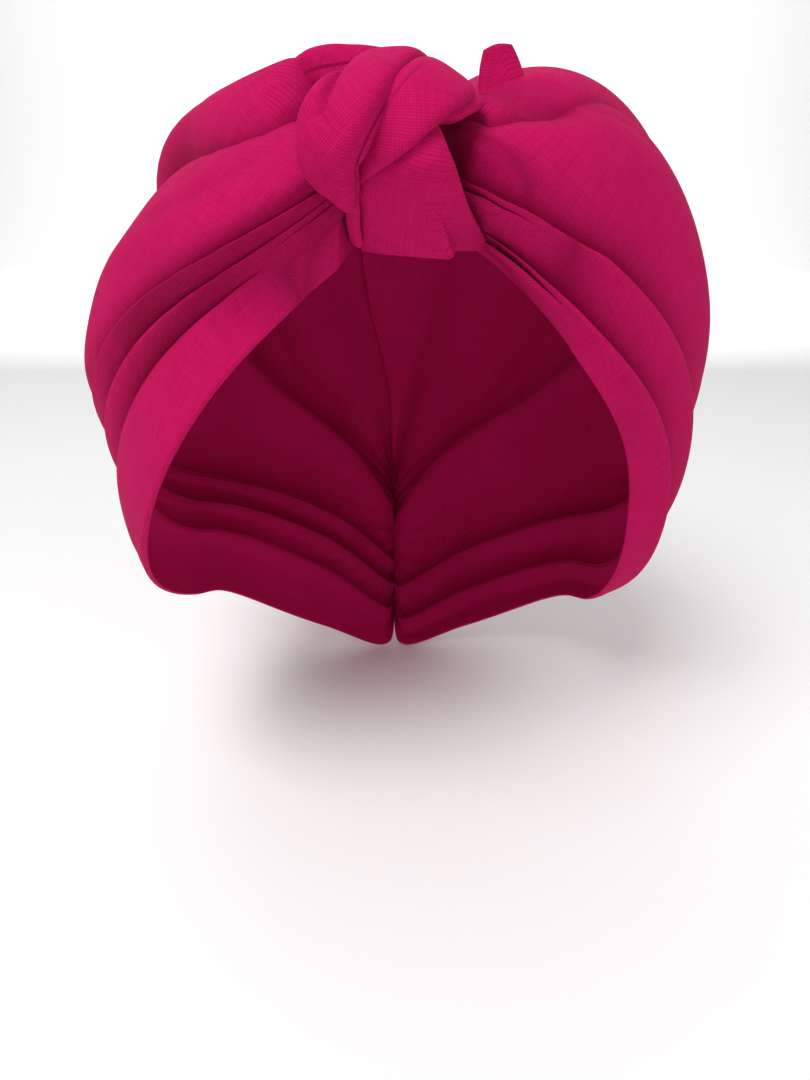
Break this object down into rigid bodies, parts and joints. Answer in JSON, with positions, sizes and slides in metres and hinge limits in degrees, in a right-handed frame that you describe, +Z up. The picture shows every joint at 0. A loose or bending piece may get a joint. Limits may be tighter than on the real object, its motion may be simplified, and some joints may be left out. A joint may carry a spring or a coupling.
{
  "type": "turban headwrap",
  "caption": "Pink cotton turban headwrap: gathered cloth folds round the crown and sides of the head, with a wound knot over the forehead and a seam at the nape.",
  "frame": {"origin": "middle of the head that the wrap is worn on, at the head's widest level", "axes": "+Z up to the crown, -Y to the face, +X to the right of someone who looks at the face"},
  "size_m": [0.1985, 0.1992, 0.2356],
  "materials": {
    "left_wing": "plain-weave cotton, matte",
    "right_wing": "plain-weave cotton, matte",
    "knot_front_tab": "plain-weave cotton, matte",
    "knot_left_lobe": "plain-weave cotton, matte",
    "knot_middle_band": "plain-weave cotton, matte",
    "knot_under_fold": "plain-weave cotton, matte",
    "knot_side_strip": "plain-weave cotton, matte",
    "knot_top_fold": "plain-weave cotton, matte",
    "tail_tip": "plain-weave cotton, matte",
    "knot_core": "plain-weave cotton, matte"
  },
  "bodies": {
    "root": {"left_wing": "left_wing", "right_wing": "right_wing", "knot_front_tab": "knot_front_tab", "knot_left_lobe": "knot_left_lobe", "knot_middle_band": "knot_middle_band", "knot_under_fold": "knot_under_fold", "knot_side_strip": "knot_side_strip", "knot_top_fold": "knot_top_fold", "tail_tip": "tail_tip", "knot_core": "knot_core"}
  },
  "joints": []
}
